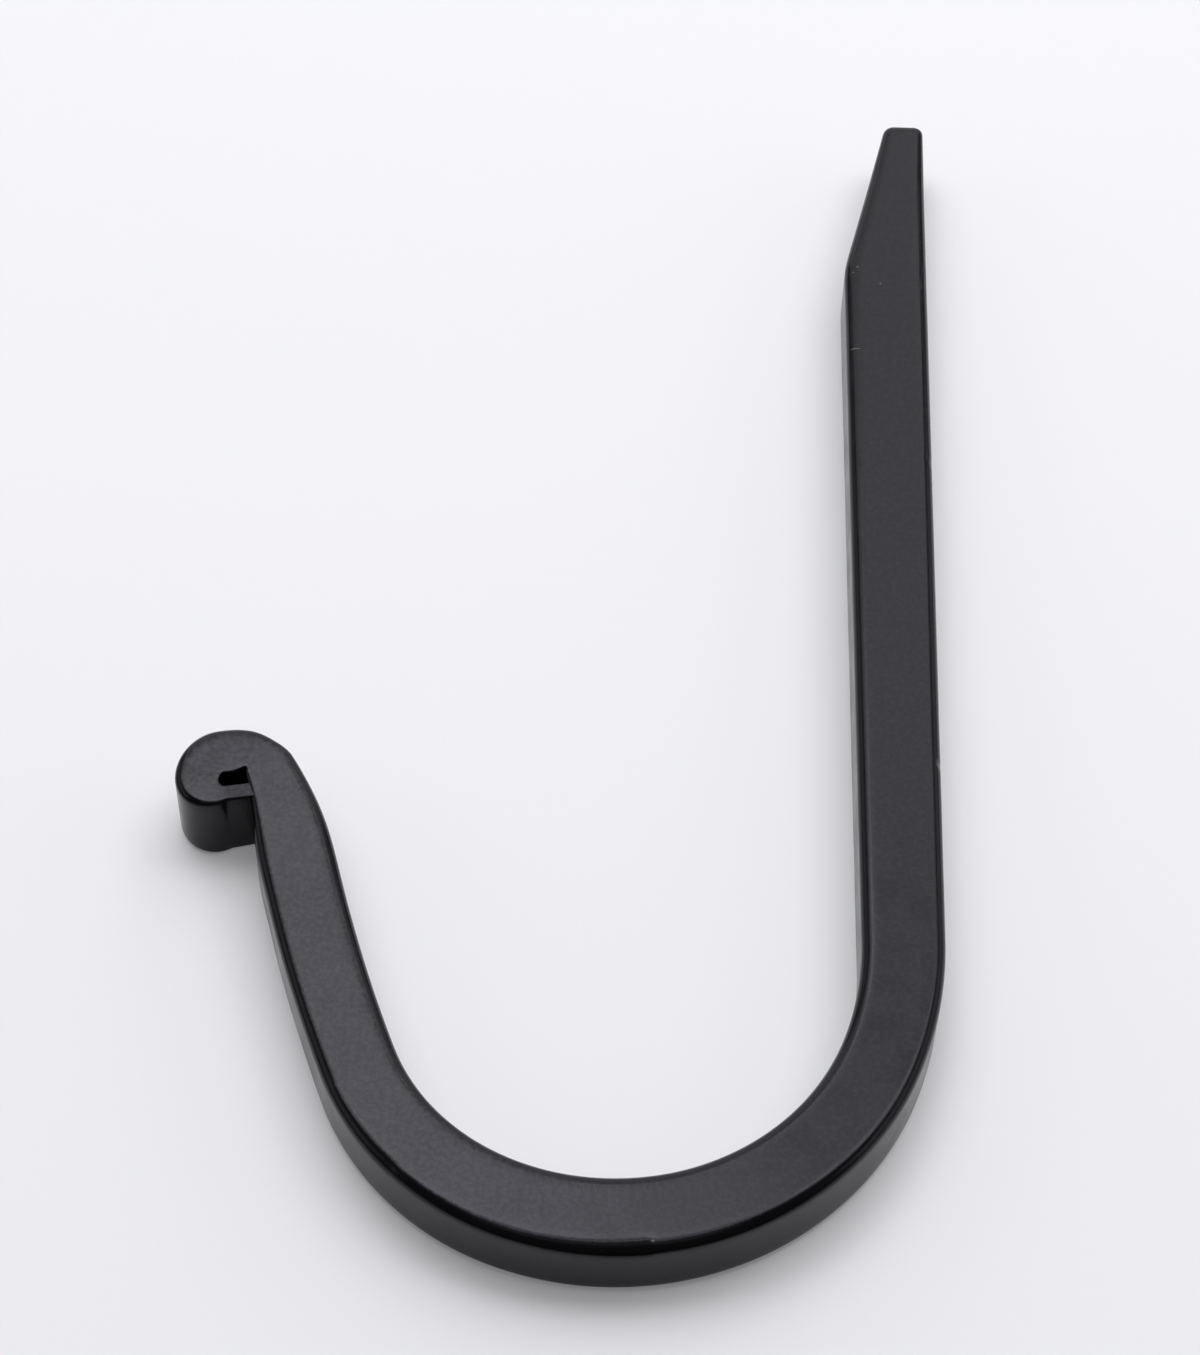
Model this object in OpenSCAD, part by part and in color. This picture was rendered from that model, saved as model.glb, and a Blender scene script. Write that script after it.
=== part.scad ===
// Wrought iron wall hook: one square bar, forged into a J.
//
// The top of the shank is cut to a chisel point. The bar bends round into the mouth, rises
// as a leg, and is drawn out thin and folded outwards into a tight scroll. Drawing it out
// spreads it upwards, so the scroll is a little thicker than the bar.
//
// The hook lies on its side, as it rests. +Z is up, +Y runs along the shank to the chisel
// point, and +X is the side that goes against the wall. The origin is under the middle of
// the hook's box.

/* [Bar] */
// Thickness of the bar, from the chisel point to the foot of the leg
bar_t = 8; // [6:0.5:12]
// Radius of the hammered edges where the bar is full size
edge_r = 1.2; // [0.4:0.1:1.5]

/* [Shank] */
// Length of the shank, from its end edge to where the bend starts
shank_l = 105.3; // [75:0.1:170]
// Width of the shank under the chisel point
shank_w = 8.9; // [8:0.1:9.6]
// Width where the bend starts
bend_w = 8; // [7.4:0.1:8.8]

/* [Chisel point] */
// Length of the taper, which is on the mouth side only
chisel_l = 21.3; // [14:0.1:28]
// Width at the end edge
chisel_w = 4.2; // [3:0.1:5.4]
// Length over which the taper eases into the shank
chisel_soft = 4; // [1:0.2:6]
// Radius of the rounded end edge
chisel_r = 1.2; // [0.4:0.1:1.4]

/* [Bend] */
// Radius where the bar leaves the shank
bend_in_r = 36; // [32:0.5:42]
// Turn at that radius, in degrees
bend_in_a = 19.5; // [15:0.5:24]
// Width at its end
bend_in_w = 7.8; // [7.4:0.1:8.4]
// Radius of the bottom of the mouth
bend_mid_r = 26.7; // [24:0.1:30]
// Turn at that radius
bend_mid_a = 89; // [84:0.5:94]
// Width at its end
bend_mid_w = 7.8; // [7.4:0.1:8.2]
// Radius where the bar turns up into the leg
bend_out_r = 24.1; // [22:0.1:27]
// Turn at that radius
bend_out_a = 49.5; // [45:0.5:54]
// Width at its end
bend_out_w = 7.4; // [7:0.1:7.8]

/* [Leg] */
// Radius of the slight curve at the leg's foot
leg_r = 175; // [140:5:240]
// Turn at that radius
leg_a = 6; // [4:0.5:8]
// Width at its end
leg_w = 7.4; // [7:0.1:7.8]
// Length of the straight part
leg_l = 6.9; // [6.4:0.1:11]
// Width at its end
leg_top_w = 7.2; // [6.8:0.1:7.6]

/* [Scroll] */
// How much thicker the scroll is than the bar
scroll_spread = 0.9; // [0:0.1:1.4]
// Radius of the neck, where the leg starts to lean out
neck_r = 47; // [40:1:60]
// Turn at that radius
neck_a = 9.5; // [9:0.5:11]
// Width at its end
neck_w = 5.4; // [5.2:0.1:5.4]
// Radius of the fold over the top
top_r = 2.8; // [2.8:0.1:3]
// Turn at that radius
top_a = 61; // [59:0.5:63]
// Width in the middle of that fold
top_mid_w = 4.8; // [4.6:0.1:5]
// Width at its end
top_w = 5.4; // [5.2:0.1:5.4]
// Radius of the flattened side between two folds
flat_r = 5.1; // [4.9:0.1:5.4]
// Turn at that radius
flat_a = 31; // [29:0.5:33]
// Width at its end
flat_w = 5.8; // [5.6:0.1:5.8]
// Radius of the outer fold
outer_r = 3; // [3:0.1:3.2]
// Turn at that radius
outer_a = 47; // [45:0.5:49]
// Width at its end
outer_w = 4.8; // [4.6:0.1:4.8]
// Radius of the lower fold
lower_r = 2.5; // [2.5:0.1:2.7]
// Turn at that radius
lower_a = 58; // [56:0.5:60]
// Width at its end
lower_w = 4.1; // [3.9:0.1:4.2]
// Radius of the last fold, which brings the tip back to the leg
last_r = 2.2; // [2.2:0.1:2.4]
// Turn at that radius
last_a = 62; // [60:0.5:64]
// Width of the drawn-out tip
tip_w = 2; // [1.8:0.1:2.2]
// Gap left between the tip and the leg
tip_gap = 0.06; // [0.04:0.02:0.4]

/* [Hidden] */

// Bar width under which the edge radius shrinks with the width
full_edge_w = 6;
// Radius of the rounded end of the tip
tip_r = 0.3;
// Faces round each edge of the bar, and round the ends of the bar
edge_steps = 4;
// Faces along the ease of the chisel point
soft_steps = 4;
// Most that the bar turns from one section to the next, in degrees
fold_step = 5;
bend_step = 3.5;
slight_step = 1.5;
// Most that it runs straight from one section to the next, in mm
run_step = 3;
// Directions in degrees, counter-clockwise from +X
down = -90;

// ------------------------------------------------------------------ centreline
// A stretch of the centreline is [radius, turn, step, width and thickness at its end]. A
// turn to the left is positive. A straight stretch has radius 0, and its length in the
// turn's place.
scroll_t = bar_t + scroll_spread;
BEND = [
    [bend_in_r, -bend_in_a, bend_step, bend_in_w, bar_t],
    [bend_mid_r, -bend_mid_a, bend_step, bend_mid_w, bar_t],
    [bend_out_r, -bend_out_a, bend_step, bend_out_w, bar_t]
];
LEG = [
    [leg_r, -leg_a, slight_step, leg_w, bar_t],
    [0, leg_l, run_step, leg_top_w, bar_t + 0.35 * scroll_spread]
];
SCROLL = [
    [neck_r, neck_a, slight_step, neck_w, bar_t + 0.9 * scroll_spread],
    [top_r, top_a / 2, fold_step, top_mid_w, scroll_t],
    [top_r, top_a / 2, fold_step, top_w, scroll_t],
    [flat_r, flat_a, fold_step, flat_w, scroll_t],
    [outer_r, outer_a, fold_step, outer_w, scroll_t],
    [lower_r, lower_a, fold_step, lower_w, scroll_t],
    [last_r, last_a, fold_step, tip_w, scroll_t]
];
STRETCHES = concat(BEND, LEG, SCROLL);

function is_straight(stretch) = stretch[0] == 0;
function run_of(stretch) = is_straight(stretch) ? stretch[1] : stretch[0] * abs(stretch[1]) * PI / 180;

// A pose is [x, y, heading]. travel() gives the pose a fraction of the way along a stretch.
function travel(pose, stretch, fraction) =
    is_straight(stretch)
        ? pose + fraction * stretch[1] * [cos(pose[2]), sin(pose[2]), 0]
        : let (heading = pose[2] + fraction * stretch[1], side_r = sign(stretch[1]) * stretch[0])
          [
              pose.x + side_r * (sin(heading) - sin(pose[2])),
              pose.y - side_r * (cos(heading) - cos(pose[2])),
              heading
          ];

// The pose at the start of each stretch, and after the last. The wall side of the shank is
// x = 0 and its end edge is y = 0 until hook() moves the finished bar to its origin.
function poses_from(pose, k) =
    k == len(STRETCHES) ? [pose] : concat([pose], poses_from(travel(pose, STRETCHES[k], 1), k + 1));
POSES = poses_from([-bend_w / 2, -shank_l, down], 0);

// --------------------------------------------------------- width and thickness
// Each passes through its values at the ends of the stretches on one smooth curve.
WIDTHS = concat([bend_w], [for (s = STRETCHES) s[3]]);
THICKNESSES = concat([bar_t], [for (s = STRETCHES) s[4]]);

function slope(values, k) =
    let (from = max(k - 1, 0), to = min(k + 1, len(STRETCHES)))
    let (runs = [for (i = [from : to - 1]) run_of(STRETCHES[i])])
    (values[to] - values[from]) / (runs * [for (r = runs) 1]);

function value_at(values, k, t) =
    let (run = run_of(STRETCHES[k]))
    values[k] * (2 * t ^ 3 - 3 * t ^ 2 + 1)
        + values[k + 1] * (3 * t ^ 2 - 2 * t ^ 3)
        + slope(values, k) * run * (t ^ 3 - 2 * t ^ 2 + t)
        + slope(values, k + 1) * run * (t ^ 3 - t ^ 2);

function width_at(k, t) = value_at(WIDTHS, k, t);
function thickness_at(k, t) = value_at(THICKNESSES, k, t);

// The shank's wall side is straight, so its whole taper is on the mouth side. The chisel
// point takes off more there, from nothing at the end of its soft stretch.
function chisel_cut(depth) =
    let (taper = (shank_w - chisel_w) / chisel_l, half = chisel_soft / 2)
    depth > half ? taper * depth
        : depth > -half ? taper * (depth + half) ^ 2 / (2 * chisel_soft)
        : 0;

function shank_width(from_end) =
    let (along = max(0, from_end - chisel_l) / (shank_l - chisel_l))
    shank_w + (bend_w - shank_w) * along - chisel_cut(chisel_l - from_end);

// --------------------------------------------------------------------- sections
// A section is [pose, width, thickness, inset]. The inset makes it smaller all round.
function across(pose) = [sin(pose[2]), -cos(pose[2])];

function shank_section(from_end, inset = 0) =
    let (width = shank_width(from_end))
    [[-width / 2, -from_end, down], width, bar_t, inset];

CHISEL_EDGE = [
    for (i = [edge_steps : -1 : 1])
        let (a = 90 * i / edge_steps)
        shank_section(chisel_r * (1 - sin(a)), chisel_r * (1 - cos(a)))
];
CHISEL = [
    shank_section(chisel_r),
    for (i = [0 : soft_steps]) shank_section(chisel_l + chisel_soft * (i / soft_steps - 0.5))
];
BENT_BAR = [
    for (k = [0 : len(STRETCHES) - 1])
        let (steps = ceil(abs(STRETCHES[k][1]) / STRETCHES[k][2]))
            for (i = [k == 0 ? 0 : 1 : steps])
                [travel(POSES[k], STRETCHES[k], i / steps), width_at(k, i / steps), thickness_at(k, i / steps), 0]
];

// The tip runs on straight from the last fold until it meets the leg's outer side. Each
// edge of the tip is a ray, and the leg's side is the chain of its sections' outer points.
LEG_SIDE = [
    for (k = [len(BEND) : len(BEND) + len(LEG)])
        for (t = [0 : 0.25 : 1])
            let (pose = travel(POSES[k], STRETCHES[k], t), side = -width_at(k, t) / 2)
            [pose.x, pose.y] + side * across(pose)
];

function cross2(a, b) = a.x * b.y - a.y * b.x;

function ray_hits(start, heading) =
    let (ray = [cos(heading), sin(heading)])
    [
        for (i = [0 : len(LEG_SIDE) - 2])
            let (chord = LEG_SIDE[i + 1] - LEG_SIDE[i], gap = LEG_SIDE[i] - start)
            let (along = cross2(gap, ray) / cross2(ray, chord))
            if (along >= 0 && along <= 1) cross2(gap, chord) / cross2(ray, chord)
    ];

FOLD_END = POSES[len(STRETCHES)];
TIP_REACH = min([
    for (side = [-tip_w / 2, tip_w / 2])
        each ray_hits([FOLD_END.x, FOLD_END.y] + side * across(FOLD_END), FOLD_END[2])
]);
TIP = [
    for (i = [0 : edge_steps])
        let (a = 90 * i / edge_steps, run = TIP_REACH - tip_gap - tip_r * (1 - sin(a)))
        [travel(FOLD_END, [0, run], 1), tip_w, scroll_t, tip_r * (1 - cos(a))]
];

SECTIONS = concat(CHISEL_EDGE, CHISEL, BENT_BAR, TIP);

// ------------------------------------------------------------------------- loft
// The bar's outline, as [across, up] points: a rectangle whose edges are rounded.
function outline(width, height, r) = [
    for (corner = [[1, 1], [-1, 1], [-1, -1], [1, -1]])
        for (i = [0 : edge_steps])
            let (quarter = corner.y > 0 ? (corner.x > 0 ? 0 : 90) : (corner.x > 0 ? 270 : 180))
            let (a = quarter + 90 * i / edge_steps)
            [corner.x * (width / 2 - r) + r * cos(a), corner.y * (height / 2 - r) + r * sin(a)]
];

function ring(section) =
    let (pose = section[0], width = section[1], thickness = section[2], inset = section[3])
    let (r = edge_r * min(1, (width - 2 * inset) / full_edge_w))
    [
        for (p = outline(width - 2 * inset, thickness - 2 * inset, r))
            [pose.x + p.x * across(pose).x, pose.y + p.x * across(pose).y, thickness / 2 + p.y]
    ];

RINGS = [for (s = SECTIONS) ring(s)];
RING_POINTS = [for (r = RINGS) each r];

// Skins the rings with four-sided faces and closes both ends.
module loft(rings) {
    points = [for (r = rings) each r];
    n = len(rings[0]);
    last = (len(rings) - 1) * n;
    sides = [
        for (i = [0 : len(rings) - 2])
            for (j = [0 : n - 1])
                let (next = (j + 1) % n)
                [i * n + j, i * n + next, (i + 1) * n + next, (i + 1) * n + j]
    ];
    start = [for (j = [n - 1 : -1 : 0]) j];
    end = [for (j = [0 : n - 1]) last + j];
    polyhedron(points, concat([start], sides, [end]), convexity = 6);
}

function middle(values) = (min(values) + max(values)) / 2;

module hook() {
    color("#3b3d40")
        translate([-middle([for (p = RING_POINTS) p.x]), -middle([for (p = RING_POINTS) p.y]), 0])
            loft(RINGS);
}

hook();
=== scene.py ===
"""Looks of a wrought iron wall hook: one square bar forged into a J and coated satin black."""

import math

import bmesh
import bpy
from mathutils import Matrix, Vector, noise


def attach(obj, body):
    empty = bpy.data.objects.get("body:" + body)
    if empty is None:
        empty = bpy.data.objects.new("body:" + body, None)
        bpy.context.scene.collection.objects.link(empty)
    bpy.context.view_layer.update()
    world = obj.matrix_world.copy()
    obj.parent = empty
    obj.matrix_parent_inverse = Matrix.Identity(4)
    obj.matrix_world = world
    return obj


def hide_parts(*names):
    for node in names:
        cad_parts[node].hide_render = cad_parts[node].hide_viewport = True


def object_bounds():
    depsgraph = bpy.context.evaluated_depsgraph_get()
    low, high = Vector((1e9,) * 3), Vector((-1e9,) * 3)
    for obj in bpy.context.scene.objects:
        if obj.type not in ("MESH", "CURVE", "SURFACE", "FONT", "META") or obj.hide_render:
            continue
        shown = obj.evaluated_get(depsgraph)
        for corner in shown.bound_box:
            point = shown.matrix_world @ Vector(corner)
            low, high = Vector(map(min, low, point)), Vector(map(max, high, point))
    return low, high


MM = 0.001

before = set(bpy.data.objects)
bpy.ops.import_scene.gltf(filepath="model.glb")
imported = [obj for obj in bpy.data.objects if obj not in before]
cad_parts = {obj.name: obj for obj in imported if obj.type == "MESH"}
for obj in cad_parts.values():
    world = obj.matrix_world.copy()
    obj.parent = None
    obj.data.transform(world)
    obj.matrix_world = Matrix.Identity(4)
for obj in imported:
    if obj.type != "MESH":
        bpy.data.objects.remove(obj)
cad_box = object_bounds()

# ---------------------------------------------------------------- sizes of the bar, in mm
# The bar's thickness, and the radius of its edges where it is as wide as FULL_EDGE_W.
# Where it is narrower, they are smaller in proportion.
BAR_T = 8.0
EDGE_R = 1.2
FULL_EDGE_W = 6.0

# The shank, and its width under the chisel point and where the bend starts.
SHANK_L = 105.3
SHANK_W = 8.9
BEND_W = 8.0

# The chisel point, its width at the end edge, the length over which it eases into the
# shank, and the radius of its end edge.
CHISEL_L = 21.3
CHISEL_W = 4.2
CHISEL_SOFT = 4.0
CHISEL_R = 1.2

# The centreline after the shank. A stretch is its radius, its turn in degrees (left is
# positive), the width and thickness at its end, how far the hammer has left the metal
# proud of that width on the left and on the right, and how much of the edge's rounding is
# left on the upper left edge, which is crisp round the eye. A straight stretch has radius
# 0, and its length in the turn's place.
STRETCHES = [
    # the bend
    (36.0, -19.5, 7.8, 8.0, 0.0, 0.0, 1.0),
    (26.7, -89.0, 7.8, 8.0, 0.0, 0.0, 1.0),
    (24.1, -49.5, 7.4, 8.0, 0.0, 0.0, 1.0),
    # the leg and its neck
    (175.0, -6.0, 7.4, 8.0, 0.0, 0.0, 1.0),
    (0.0, 6.9, 7.2, 8.3, 0.0, 0.0, 1.0),
    (47.0, 9.5, 5.4, 8.8, -0.3, 0.0, 0.4),
    # the scroll, folded back outside the leg
    (2.8, 30.5, 4.8, 8.9, -0.25, -0.1, 0.25),
    (2.8, 30.5, 5.4, 8.9, -0.25, -0.2, 0.25),
    (5.1, 15.5, 5.6, 8.9, -0.05, -0.15, 0.25),
    (5.1, 15.5, 5.8, 8.9, -0.2, -0.1, 0.25),
    (3.0, 47.0, 4.8, 8.9, -0.05, 0.0, 0.25),
    (2.5, 58.0, 4.1, 8.9, 0.0, -0.1, 0.3),
    (2.2, 62.0, 2.0, 8.8, 0.1, -0.35, 0.5),
]
# The tip is hammered down on the leg and ends inside it.
TIP_L = 3.6
TIP_END_T = 8.45

# The edge above the bend's outer wall was dressed in hammered lengths. Each starts with a
# step and runs out again: its start along the bar, its length and its extra rounding.
HAMMERED_EDGES = [
    (146.4, 10.0, 0.35),
    (168.5, 8.0, 0.18),
    (178.0, 8.0, 0.15),
]
STEP_RUN = 0.4

# Dents: the middle in the hook's own frame, the reach and the depth.
DENTS = [
    ((36.9, -15.6, 7.4), 0.8, 0.14),
    ((36.0, 46.8, 8.0), 1.8, 0.07),
    ((36.9, 22.0, 7.6), 1.2, 0.05),
    ((28.1, 47.4, 7.8), 0.9, 0.05),
]

# Hammered metal has shallow waves. The surface stays a hair inside the solid's box.
WAVE_SIZE = 9.0
WAVE_DEPTH = 0.04
HAIR = 0.012

# Heading of the shank as it is drawn from the chisel point, in degrees.
DOWN = -90.0

# ------------------------------------------------------------------ fineness of the mesh
# Sections are at most this far apart, in mm along the bar and in degrees of its turn.
RUN_STEP = 0.4
TURN_STEP = 3.0
# Faces round an edge, across a flat and round the end edge.
EDGE_FACES = 8
FLAT_FACES = 8
END_FACES = 6


# --------------------------------------------------------------------------- centreline
def run_of(stretch):
    """Length of a stretch in mm."""
    radius, turn = stretch[:2]
    return turn if radius == 0 else radius * math.radians(abs(turn))


def travel(pose, stretch, fraction):
    """The pose (x, y, heading) a fraction of the way along a stretch."""
    x, y, heading = pose
    radius, turn = stretch[:2]
    start = math.radians(heading)
    if radius == 0:
        run = fraction * turn
        return x + run * math.cos(start), y + run * math.sin(start), heading
    side_r = math.copysign(radius, turn)
    end = start + math.radians(fraction * turn)
    x += side_r * (math.sin(end) - math.sin(start))
    y -= side_r * (math.cos(end) - math.cos(start))
    return x, y, heading + fraction * turn


def sideways(pose, step):
    """The pose a step to the left of the way it heads."""
    x, y, heading = pose
    side = math.radians(heading + 90)
    return x + step * math.cos(side), y + step * math.sin(side), heading


def smooth_value(values, k, t):
    """Value in stretch k, on the curve that passes through the value at each stretch's end."""
    runs = [run_of(s) for s in STRETCHES]

    def slope(i):
        low, high = max(i - 1, 0), min(i + 1, len(STRETCHES))
        return (values[high] - values[low]) / sum(runs[low:high])

    return (
        values[k] * (2 * t**3 - 3 * t**2 + 1)
        + values[k + 1] * (3 * t**2 - 2 * t**3)
        + slope(k) * runs[k] * (t**3 - 2 * t**2 + t)
        + slope(k + 1) * runs[k] * (t**3 - t**2)
    )


def shank_width(from_end):
    """Width of the shank, whose taper and chisel point are on the mouth side only."""
    along = max(0.0, from_end - CHISEL_L) / (SHANK_L - CHISEL_L)
    taper = (SHANK_W - CHISEL_W) / CHISEL_L
    depth = CHISEL_L - from_end
    half = CHISEL_SOFT / 2
    if depth > half:
        cut = taper * depth
    elif depth > -half:
        cut = taper * (depth + half) ** 2 / (2 * CHISEL_SOFT)
    else:
        cut = 0.0
    return SHANK_W + (BEND_W - SHANK_W) * along - cut


def steps_between(start, end, step):
    """Even stops from start to end, both included, at most a step apart."""
    count = max(1, math.ceil((end - start) / step))
    return [start + (end - start) * i / count for i in range(count + 1)]


def edge_round(width):
    """Radius of the edges where the bar has a width."""
    return EDGE_R * min(1.0, width / FULL_EDGE_W)


def edge_wear(run):
    """Extra rounding of the upper outer edge at a run along the bar."""
    wear = 0.0
    for start, length, extra in HAMMERED_EDGES:
        past = run - start
        if 0 < past < length:
            wear += extra * min(1.0, past / STEP_RUN) * (1 - past / length)
    return wear


def shank_sections():
    """Sections (pose, width, thickness, inset, wear) from the end edge to the bend's start."""
    stops = []
    for i in range(END_FACES, 0, -1):
        turn = math.radians(90 * i / END_FACES)
        stops.append((CHISEL_R * (1 - math.sin(turn)), CHISEL_R * (1 - math.cos(turn))))
    stops += [(run, 0.0) for run in steps_between(CHISEL_R, SHANK_L, RUN_STEP)]
    sections = []
    for run, inset in stops:
        width = shank_width(run)
        sections.append(((-width / 2, -run, DOWN), width, BAR_T, inset, edge_wear(run)))
    return sections


def bent_sections():
    """Sections from the start of the bend to the end of the tip."""
    widths = [BEND_W] + [s[2] for s in STRETCHES]
    thicknesses = [BAR_T] + [s[3] for s in STRETCHES]
    lefts = [0.0] + [s[4] for s in STRETCHES]
    rights = [0.0] + [s[5] for s in STRETCHES]
    shares = [1.0] + [s[6] for s in STRETCHES]
    pose = (-BEND_W / 2, -SHANK_L, DOWN)
    run = SHANK_L
    sections = []
    for k, stretch in enumerate(STRETCHES):
        count = math.ceil(run_of(stretch) / RUN_STEP)
        if stretch[0] > 0:
            count = max(count, math.ceil(abs(stretch[1]) / TURN_STEP))
        for i in range(1, count + 1):
            t = i / count
            width, thickness = smooth_value(widths, k, t), smooth_value(thicknesses, k, t)
            left, right = smooth_value(lefts, k, t), smooth_value(rights, k, t)
            middle = sideways(travel(pose, stretch, t), (left - right) / 2)
            width += left + right
            wear = edge_wear(run + t * run_of(stretch))
            wear -= edge_round(width) * (1 - smooth_value(shares, k, t))
            sections.append((middle, width, thickness, 0.0, wear))
        pose = travel(pose, stretch, 1.0)
        run += run_of(stretch)
    pose = sideways(pose, (lefts[-1] - rights[-1]) / 2)
    width = widths[-1] + lefts[-1] + rights[-1]
    for past in steps_between(0.0, TIP_L, RUN_STEP)[1:]:
        thickness = thicknesses[-1] + (TIP_END_T - thicknesses[-1]) * past / TIP_L
        wear = -edge_round(width) * (1 - shares[-1])
        sections.append((travel(pose, (0, past), 1.0), width, thickness, 0.0, wear))
    return sections


# ------------------------------------------------------------------------------- section
def outline(width, height, r, wear):
    """The bar's outline as (across, up) points: flats cut into faces, and rounded edges."""
    corners = [(1, 1, 0, r), (-1, 1, 90, r + wear), (-1, -1, 180, r), (1, -1, 270, r)]
    arcs = []
    for side, top, start, edge_r in corners:
        centre = Vector((side * (width / 2 - edge_r), top * (height / 2 - edge_r)))
        turns = [math.radians(start + 90 * i / EDGE_FACES) for i in range(EDGE_FACES + 1)]
        arcs.append([centre + edge_r * Vector((math.cos(a), math.sin(a))) for a in turns])
    points = []
    for n, arc in enumerate(arcs):
        points += arc
        flat_end = arcs[(n + 1) % 4][0]
        points += [arc[-1].lerp(flat_end, i / FLAT_FACES) for i in range(1, FLAT_FACES)]
    return points


def section_points(section):
    """A section's outline in the hook's own frame, in metres."""
    (x, y, heading), width, thickness, inset, wear = section
    wall_x, end_y = cad_box[1][0], cad_box[1][1]
    across = Vector((math.sin(math.radians(heading)), -math.cos(math.radians(heading)), 0))
    width -= 2 * inset
    height = thickness - 2 * inset
    r = edge_round(width)
    middle = Vector((x, y, thickness / 2))
    origin = Vector((wall_x, end_y, 0))
    return [
        origin + MM * (middle + across * p.x + Vector((0, 0, p.y)))
        for p in outline(width, height, r, wear)
    ]


def sunk(point):
    """How far the surface lies in at a point, in mm: waves in the metal, and dents."""
    point = point / MM
    depth = HAIR + WAVE_DEPTH * (0.5 + 0.5 * noise.noise(point / WAVE_SIZE))
    for middle, reach, dent in DENTS:
        away = (point - Vector(middle)).length / reach
        if away < 1:
            depth += dent * (1 - away**2) ** 2
    return depth


def forge_bar():
    """Draws the bar out, one section after another, from the chisel point to the tip."""
    sections = shank_sections() + bent_sections()
    bm = bmesh.new()
    ring = [bm.verts.new(p) for p in section_points(sections[0])]
    start = bm.faces.new(ring)
    edges = list(start.edges)
    for section in sections[1:]:
        drawn = bmesh.ops.extrude_edge_only(bm, edges=edges)["geom"]
        edges = [e for e in drawn if isinstance(e, bmesh.types.BMEdge)]
        edges = [e for e in edges if all(v in drawn for v in e.verts)]
        ring = [v for v in drawn if isinstance(v, bmesh.types.BMVert)]
        for vert, point in zip(ring, section_points(section)):
            vert.co = point
    bmesh.ops.holes_fill(bm, edges=edges, sides=0)
    bmesh.ops.recalc_face_normals(bm, faces=bm.faces)
    bm.normal_update()
    moves = [(vert, vert.normal * sunk(vert.co) * MM) for vert in bm.verts]
    for vert, move in moves:
        vert.co -= move
    for face in bm.faces:
        face.smooth = True
    mesh = bpy.data.meshes.new("forged_bar")
    bm.to_mesh(mesh)
    bm.free()
    bar = bpy.data.objects.new("forged_bar", mesh)
    bpy.context.collection.objects.link(bar)
    return bar


# ------------------------------------------------------------------------------ materials
COAT_COLOUR = "#050506"
COAT_TINT = "#f2f2ff"
COAT_SPECULAR = 0.21
# Roughness of the coat's glossiest and dullest patches, and the size of a patch in mm.
COAT_ROUGHNESS = (0.17, 0.24)
CLOUD_SIZE = 4.0
CLOUD_RANGE = (0.3, 0.7)
# The peel that a brush leaves in enamel: its size and its depth in mm.
PEEL_SIZE = 0.5
PEEL_DEPTH = 0.010
# Dust lies in the peel, on what faces up. Its lighter colour is also a painted sheen on the tops of
# the leg and scroll.
DUST_AND_SHEEN_COLOUR = "#202026"
DUST_AND_SHEEN_RANGE = (0.35, 0.7)
FACES_UP = (0.9, 1.0)
# The metal goes from the smooth shank to the hammered leg between these places across the
# hook, in mm. The smooth metal has only a share of the peel, the dust and the painted sheen.
SMOOTH_FROM = 15.0
HAMMERED_FROM = -10.0
SMOOTH_SHARE = 0.35

# Scrapes in the coat, and one painted highlight on the step where a hammered edge starts:
# the middle and the half sizes in mm. A mark has its full colour in its core, which is a
# share of its size; there a scrape is fully bare.
MARK_AND_HIGHLIGHT_COLOUR = "#4c4c4e"
MARK_CORE = 0.5
MARKS_AND_HIGHLIGHT = [
    ((29.1, 36.5, 8.0), (0.75, 0.1, 0.8)),
    ((29.5, 48.0, 8.0), (0.16, 0.14, 0.6)),
    ((29.0, 47.2, 8.0), (0.12, 0.12, 0.6)),
    ((31.9, 45.7, 8.0), (0.12, 0.16, 0.6)),
    # a painted highlight on the step where the first hammered edge of the bend starts
    ((10.1, -68.2, 7.9), (0.22, 0.16, 0.5)),
    ((37.0, -15.6, 7.3), (0.2, 0.4, 0.5)),
]


# The numbers of the Mix node's colour inputs and of its colour output.
MIX_FIRST = 6
MIX_SECOND = 7
MIX_RESULT = 2


def linear(hex_colour):
    """An sRGB hex colour as a linear RGBA value."""
    channels = [int(hex_colour[i : i + 2], 16) / 255 for i in (1, 3, 5)]
    light = [c / 12.92 if c <= 0.04045 else ((c + 0.055) / 1.055) ** 2.4 for c in channels]
    return (*light, 1.0)


def add_node(tree, kind, settings=None, links=None):
    """Adds a node, with its settings and input values, and links outputs to its inputs.

    A key is the name of a setting, or the name or number of an input.
    """
    node = tree.nodes.new(kind)
    for key, value in (settings or {}).items():
        if isinstance(key, int) or key in node.inputs:
            node.inputs[key].default_value = value
        else:
            setattr(node, key, value)
    for key, output in (links or {}).items():
        tree.links.new(output, node.inputs[key])
    return node


def smooth_range(start, end, low=0.0, high=1.0):
    """Settings that carry a value smoothly from low at start to high at end."""
    return {
        "interpolation_type": "SMOOTHSTEP",
        "From Min": start,
        "From Max": end,
        "To Min": low,
        "To Max": high,
    }


def marked_spot(tree, place, middle, half_size):
    """1 in a small oval spot on the surface and 0 outside it: a scrape, and at one place a painted
    highlight. Sizes are in mm.
    """
    offset = add_node(
        tree,
        "ShaderNodeVectorMath",
        {"operation": "SUBTRACT", 1: Vector(middle) * MM},
        {0: place},
    )
    scaled = add_node(
        tree,
        "ShaderNodeVectorMath",
        {"operation": "DIVIDE", 1: Vector(half_size) * MM},
        {0: offset.outputs[0]},
    )
    away = add_node(
        tree, "ShaderNodeVectorMath", {"operation": "LENGTH"}, {0: scaled.outputs[0]}
    ).outputs["Value"]
    return add_node(
        tree, "ShaderNodeMapRange", smooth_range(1.0, MARK_CORE), {"Value": away}
    ).outputs[0]


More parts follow.
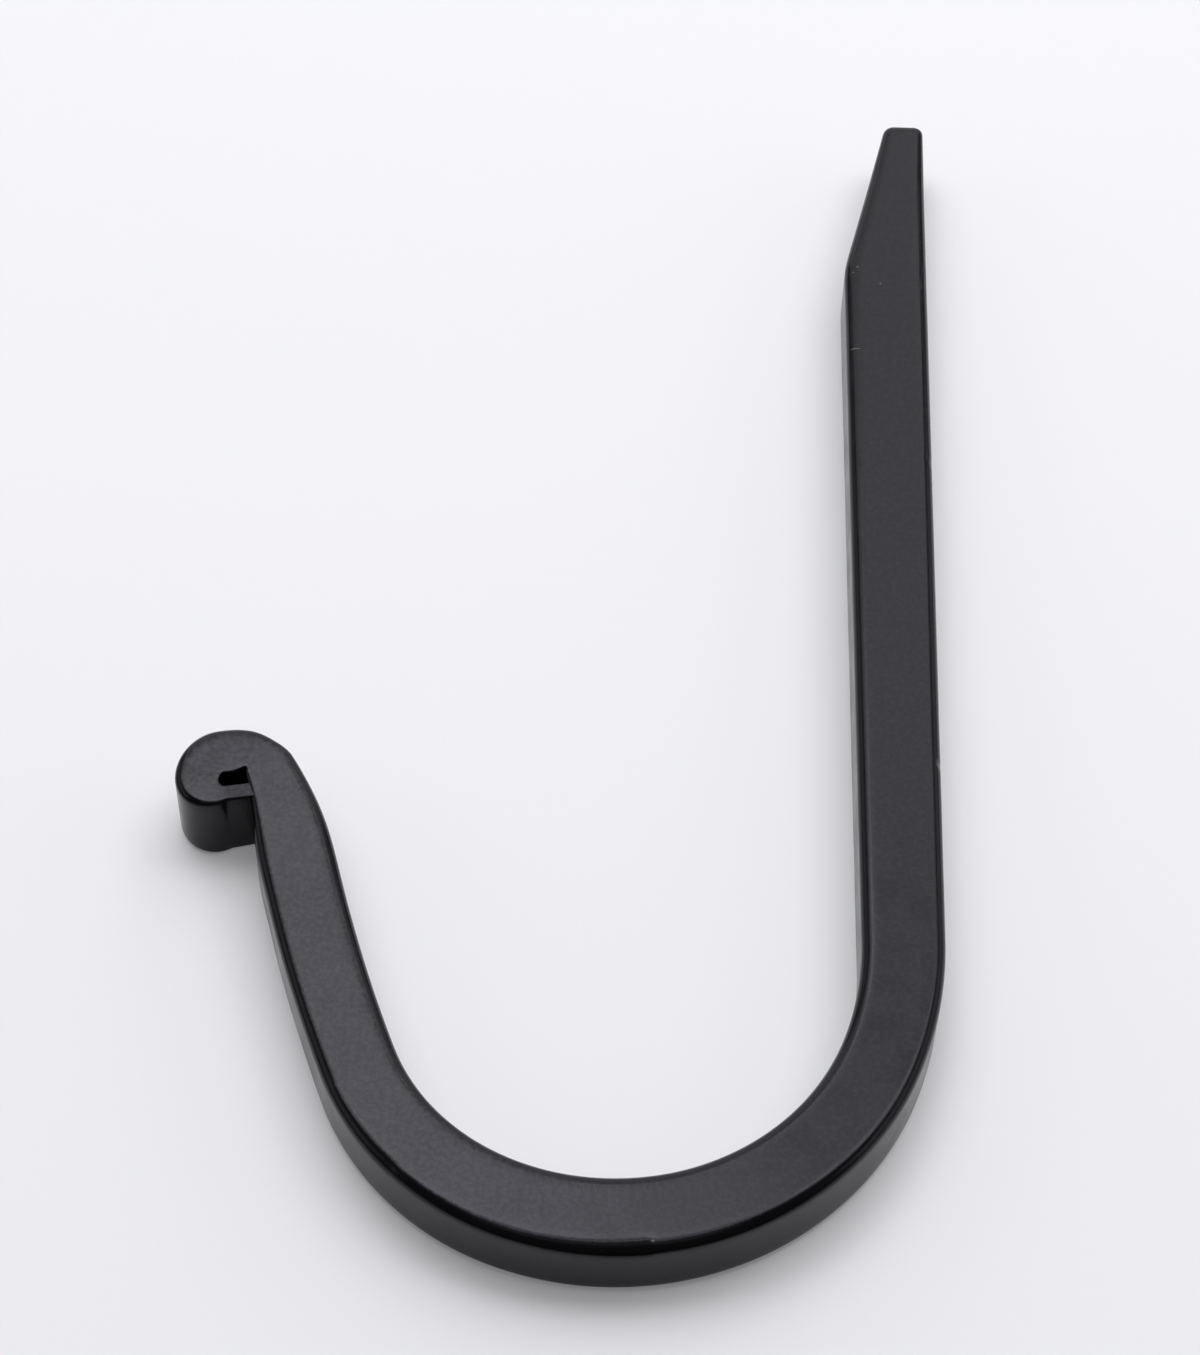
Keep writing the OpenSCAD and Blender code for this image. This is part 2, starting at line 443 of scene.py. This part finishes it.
def black_stove_enamel():
    """Black stove enamel, brushed on forged iron and baked.

    It is thin, satin and nearly black, with a faint peel from the brush, patches that are
    a little duller, and fine dust on what faces up, whose lighter colour is also a painted
    sheen on the tops of the leg and scroll. It has scrapes where it has been knocked, and a
    painted highlight on the step of a hammered edge.
    """
    material = bpy.data.materials.new("black_stove_enamel")
    material.use_nodes = True
    tree = material.node_tree
    shader = tree.nodes["Principled BSDF"]
    shader.inputs["Specular IOR Level"].default_value = COAT_SPECULAR
    shader.inputs["Specular Tint"].default_value = linear(COAT_TINT)
    place = add_node(tree, "ShaderNodeTexCoord").outputs["Object"]

    # The peel is stronger over the hammered leg and scroll than on the shank.
    across = add_node(tree, "ShaderNodeSeparateXYZ", links={"Vector": place}).outputs["X"]
    hammered = add_node(
        tree,
        "ShaderNodeMapRange",
        smooth_range(SMOOTH_FROM * MM, HAMMERED_FROM * MM, SMOOTH_SHARE, 1.0),
        {"Value": across},
    ).outputs[0]
    peel = add_node(
        tree,
        "ShaderNodeTexNoise",
        {"Scale": 1 / (PEEL_SIZE * MM), "Detail": 2.0},
        {"Vector": place},
    ).outputs[0]
    cloud = add_node(
        tree,
        "ShaderNodeTexNoise",
        {"Scale": 1 / (CLOUD_SIZE * MM), "Detail": 3.0},
        {"Vector": place},
    ).outputs[0]

    # A film of dust lies on what faces up, thinner on the smooth shank. Its lighter colour also
    # paints a sheen on the tops of the leg and scroll.
    in_peel = add_node(
        tree, "ShaderNodeMapRange", smooth_range(*DUST_AND_SHEEN_RANGE), {"Value": peel}
    ).outputs[0]
    facing = add_node(tree, "ShaderNodeNewGeometry").outputs["Normal"]
    level = add_node(tree, "ShaderNodeSeparateXYZ", links={"Vector": facing}).outputs["Z"]
    upward = add_node(
        tree, "ShaderNodeMapRange", smooth_range(*FACES_UP), {"Value": level}
    ).outputs[0]
    upward_dust_and_sheen = add_node(
        tree, "ShaderNodeMath", {"operation": "MULTIPLY"}, {0: in_peel, 1: upward}
    ).outputs[0]
    dust_and_sheen = add_node(
        tree, "ShaderNodeMath", {"operation": "MULTIPLY"}, {0: upward_dust_and_sheen, 1: hammered}
    ).outputs[0]
    colour = add_node(
        tree,
        "ShaderNodeMix",
        {"data_type": "RGBA", MIX_FIRST: linear(COAT_COLOUR), MIX_SECOND: linear(DUST_AND_SHEEN_COLOUR)},
        {0: dust_and_sheen},
    ).outputs[MIX_RESULT]

    # A light scratch and specks, where the coat has been scraped, and a painted highlight on the
    # step of a hammered edge.
    for middle, half_size in MARKS_AND_HIGHLIGHT:
        colour = add_node(
            tree,
            "ShaderNodeMix",
            {"data_type": "RGBA", MIX_SECOND: linear(MARK_AND_HIGHLIGHT_COLOUR)},
            {0: marked_spot(tree, place, middle, half_size), MIX_FIRST: colour},
        ).outputs[MIX_RESULT]
    tree.links.new(colour, shader.inputs["Base Color"])

    roughness = add_node(
        tree, "ShaderNodeMapRange", smooth_range(*CLOUD_RANGE, *COAT_ROUGHNESS), {"Value": cloud}
    ).outputs[0]
    tree.links.new(roughness, shader.inputs["Roughness"])

    bump = add_node(
        tree, "ShaderNodeBump", {"Distance": PEEL_DEPTH * MM}, {"Height": peel, "Strength": hammered}
    )
    tree.links.new(bump.outputs["Normal"], shader.inputs["Normal"])
    return material


def plain(name, hex_colour, roughness):
    """A plain matt material for what lies round the hook."""
    material = bpy.data.materials.new(name)
    material.use_nodes = True
    shader = material.node_tree.nodes["Principled BSDF"]
    shader.inputs["Base Color"].default_value = linear(hex_colour)
    shader.inputs["Roughness"].default_value = roughness
    return material


# --------------------------------------------------------------------------------- object
bar = forge_bar()
bar.data.materials.append(black_stove_enamel())
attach(bar, "root")
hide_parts("hook")


# ---------------------------------------------------------------------------------- stage
# A sheet of office paper lies on a dark desk: sizes and near left corners in mm, and the
# paper's turn in degrees.
PAPER_SIZE = (210, 297)
PAPER_CORNER = (-53.0, -89.5, 0.0)
PAPER_TURN = 6.9
PAPER_COLOUR = "#d8d8dc"
PAPER_ROUGHNESS = 0.9
PAPER_GLOW = "#f0f0f4"
OWN_WHITE = 0.15

DESK_SIZE = (2400, 2400)
DESK_CORNER = (-1200, -1200, -0.3)
DESK_COLOUR = "#2a2724"
DESK_ROUGHNESS = 0.6


def lay(name, size, corner, turn, material):
    """A flat sheet lying level: its size and the place of its near left corner, in mm."""
    bm = bmesh.new()
    bmesh.ops.create_grid(bm, x_segments=1, y_segments=1, size=0.5)
    bmesh.ops.translate(bm, verts=bm.verts, vec=(0.5, 0.5, 0))
    bmesh.ops.scale(bm, verts=bm.verts, vec=Vector((size[0], size[1], 1)) * MM)
    bmesh.ops.rotate(bm, verts=bm.verts, matrix=Matrix.Rotation(math.radians(turn), 3, "Z"))
    bmesh.ops.translate(bm, verts=bm.verts, vec=Vector(corner) * MM)
    mesh = bpy.data.meshes.new(name)
    bm.to_mesh(mesh)
    bm.free()
    sheet = bpy.data.objects.new(name, mesh)
    bpy.context.collection.objects.link(sheet)
    mesh.materials.append(material)


def office_paper():
    """White uncoated office paper, pressed smooth: matt. Part of its white is its own."""
    material = plain("office_paper", PAPER_COLOUR, PAPER_ROUGHNESS)
    tree = material.node_tree

    # The camera, and what is glossy or clear, see the paper's own white.
    path = add_node(tree, "ShaderNodeLightPath").outputs
    seen = path["Is Camera Ray"]
    for kind in ("Is Glossy Ray", "Is Transmission Ray"):
        seen = add_node(
            tree, "ShaderNodeMath", {"operation": "MAXIMUM"}, {0: seen, 1: path[kind]}
        ).outputs[0]
    share = add_node(
        tree, "ShaderNodeMath", {"operation": "MULTIPLY", 1: OWN_WHITE}, {0: seen}
    ).outputs[0]
    glow = add_node(
        tree, "ShaderNodeEmission", {"Color": linear(PAPER_GLOW), "Strength": 1.0}
    ).outputs[0]
    matt = tree.nodes["Principled BSDF"].outputs[0]
    mix = add_node(tree, "ShaderNodeMixShader", links={0: share, 1: matt, 2: glow})
    tree.links.new(mix.outputs[0], tree.nodes["Material Output"].inputs["Surface"])
    return material


# The desk is stained wood. Past the paper's edge it is dark in the walls of the bar.
lay("paper", PAPER_SIZE, PAPER_CORNER, PAPER_TURN, office_paper())
stained_wood = plain("stained_wood", DESK_COLOUR, DESK_ROUGHNESS)
lay("desk", DESK_SIZE, DESK_CORNER, 0.0, stained_wood)

# A wide soft window on the far side, from near overhead down, brighter left of the middle.
# The near side of the room is dim. Each panel is its degrees right of the far side and its
# degrees up, its size in metres, and its radiance, where 1 is as bright as white.
LAMP_DISTANCE = 1.0
LAMPS = [
    ("window_top", 0, 78, (1.4, 0.28), 3.4),
    ("window_middle", 0, 62, (1.5, 0.3), 2.0),
    ("window_low", 0, 44, (1.2, 0.35), 1.5),
    ("window_foot", 0, 18, (1.6, 0.5), 1.4),
    ("window_left", -22, 66, (0.4, 0.4), 3.2),
    ("window_right", 20, 46, (0.4, 0.4), 0.8),
    ("side_right", 68, 60, (0.44, 0.58), 1.4),
    ("wall_right", 80, 20, (1.2, 0.55), 0.9),
    ("wall_left", -80, 20, (1.2, 0.55), 0.7),
    ("ceiling", 180, 86, (0.6, 0.14), 3.5),
    ("ceiling_near", 180, 65, (0.8, 0.4), 0.4),
]
ROOM_LIGHT = 0.12


def hang_lamp(name, azimuth, elevation, size, radiance):
    """A soft panel aimed at the hook."""
    data = bpy.data.lights.new(name, "AREA")
    data.shape = "RECTANGLE"
    data.size, data.size_y = size
    data.energy = radiance * math.pi * size[0] * size[1]
    aside, up = math.radians(azimuth), math.radians(elevation)
    place = Vector((math.sin(aside) * math.cos(up), math.cos(aside) * math.cos(up), math.sin(up)))
    panel = bpy.data.objects.new(name, data)
    panel.location = LAMP_DISTANCE * place
    panel.rotation_euler = (-place).to_track_quat("-Z", "Y").to_euler()
    bpy.context.collection.objects.link(panel)


for lamp in LAMPS:
    hang_lamp(*lamp)

room = bpy.data.worlds.new("room")
room.use_nodes = True
room_background = room.node_tree.nodes["Background"]
room_background.inputs["Color"].default_value = (1, 1, 1, 1)
room_background.inputs["Strength"].default_value = ROOM_LIGHT
bpy.context.scene.world = room

# --------------------------------------------------------------------------------- camera
# The place is in mm in the hook's own frame, and the angles are in degrees.
CAMERA_PLACE = Vector((5.196, -214.725, 298.752)) * MM
CAMERA_ELEVATION = 54.483
CAMERA_YAW = -0.261
CAMERA_ROLL = 1.956
FOCAL_PIXELS = 3633.9
IMAGE_WIDTH = 1200
SENSOR_WIDTH = 36.0
NEAREST = 0.01

camera_data = bpy.data.cameras.new("camera")
camera_data.sensor_fit = "HORIZONTAL"
camera_data.sensor_width = SENSOR_WIDTH
camera_data.lens = SENSOR_WIDTH * FOCAL_PIXELS / IMAGE_WIDTH
camera_data.clip_start = NEAREST
camera = bpy.data.objects.new("camera", camera_data)
camera.matrix_world = (
    Matrix.Translation(CAMERA_PLACE)
    @ Matrix.Rotation(math.radians(90 - CAMERA_ELEVATION), 4, "X")
    @ Matrix.Rotation(math.radians(-CAMERA_YAW), 4, "Y")
    @ Matrix.Rotation(math.radians(CAMERA_ROLL), 4, "Z")
)
bpy.context.collection.objects.link(camera)
bpy.context.scene.camera = camera
bpy.context.scene.view_settings.view_transform = "Standard"
